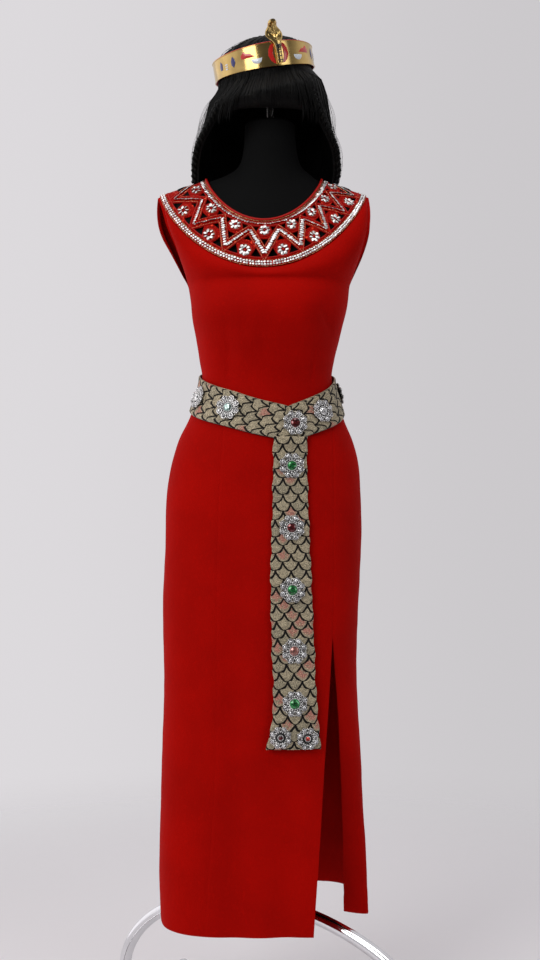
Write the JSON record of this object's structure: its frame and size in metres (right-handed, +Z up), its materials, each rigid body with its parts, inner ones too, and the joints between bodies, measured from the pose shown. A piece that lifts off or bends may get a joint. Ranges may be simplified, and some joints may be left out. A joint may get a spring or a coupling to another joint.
{
  "type": "egyptian queen costume on a dress form",
  "caption": "Sleeveless red sheath dress with an openwork beaded yoke, scale-pattern belt and sash, cobra crown and black wig, standing on a limbless dress form.",
  "frame": {"origin": "on the floor under the form's post, at the centre of the box round the stand's footprint", "axes": "+Z up, the costume faces -Y, +X is the viewer's right"},
  "size_m": [0.8488, 0.7612, 1.914],
  "materials": {
    "red_crepe": "matt crepe with a faint sheen",
    "piping_red": "covered cord",
    "beaded_red": "red sequin ground with silver beadwork",
    "scale_brocade": "beige and gold metallic brocade, black outlines",
    "clasp_silver": "bright filigree with glass stones",
    "crown_gold": "polished gold colour",
    "black_hair": "straight synthetic hair",
    "form_black": "matt jersey cover",
    "chrome": "polished",
    "pad_rubber": "matt",
    "block_foam": "rigid foam"
  },
  "bodies": {
    "root": {"bodice_back_left": "red_crepe", "bodice_back_right": "red_crepe", "bodice_front": "red_crepe", "skirt_back_left": "red_crepe", "skirt_back_right": "red_crepe", "skirt_front": "red_crepe", "skirt_side_front_left": "red_crepe", "skirt_side_front_right": "red_crepe", "neck_piping": "piping_red", "yoke_front": "beaded_red", "yoke_back": "beaded_red", "belt_band": "scale_brocade", "belt_sash": "scale_brocade", "belt_rosette_01": "clasp_silver", "belt_rosette_02": "clasp_silver", "belt_rosette_03": "clasp_silver", "belt_rosette_04": "clasp_silver", "belt_rosette_05": "clasp_silver", "belt_rosette_06": "clasp_silver", "belt_rosette_07": "clasp_silver", "belt_rosette_08": "clasp_silver", "sash_rosette_01": "clasp_silver", "sash_rosette_02": "clasp_silver", "sash_rosette_03": "clasp_silver", "sash_rosette_04": "clasp_silver", "sash_rosette_05": "clasp_silver", "sash_rosette_06": "clasp_silver", "sash_rosette_07": "clasp_silver", "crown_band": "crown_gold", "crown_cobra": "crown_gold", "wig_cap": "black_hair", "wig_fringe": "black_hair", "wig_side_left": "black_hair", "wig_side_right": "black_hair", "wig_back": "black_hair", "form_torso": "form_black", "form_neck_cap": "form_black", "wig_rod": "chrome", "stand_post": "chrome", "stand_hub": "chrome", "stand_arch_left": "chrome", "stand_arch_right": "chrome", "floor_bar_left": "chrome", "floor_bar_right": "chrome", "floor_pad_01": "pad_rubber", "floor_pad_02": "pad_rubber", "floor_pad_03": "pad_rubber", "floor_pad_04": "pad_rubber", "wig_block": "block_foam"}
  },
  "joints": []
}
